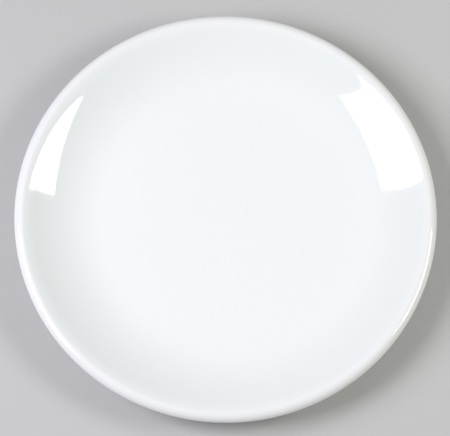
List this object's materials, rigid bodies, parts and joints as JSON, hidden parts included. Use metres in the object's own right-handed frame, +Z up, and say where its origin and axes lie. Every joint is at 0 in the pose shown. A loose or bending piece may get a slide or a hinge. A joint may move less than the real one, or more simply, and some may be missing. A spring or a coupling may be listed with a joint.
{
  "type": "salad plate",
  "caption": "Round white coupe salad plate with a flat well, a curved wall, a softly rounded rim and a low bare foot ring, for serving salad or other small portions.",
  "frame": {"origin": "on the plate's axis, on the plane of the foot ring's bearing face", "axes": "+Z up along the plate's axis, out of the well; X and Y level, any way round"},
  "size_m": [0.203, 0.203, 0.0201],
  "materials": {
    "bare_clay": "fired clay, matt and fine-grained, bare only on the foot ring",
    "white_glaze": "clear-white glossy glaze"
  },
  "bodies": {
    "root": {"clay_body": "bare_clay", "face_glaze": "white_glaze", "back_glaze": "white_glaze"}
  },
  "joints": []
}
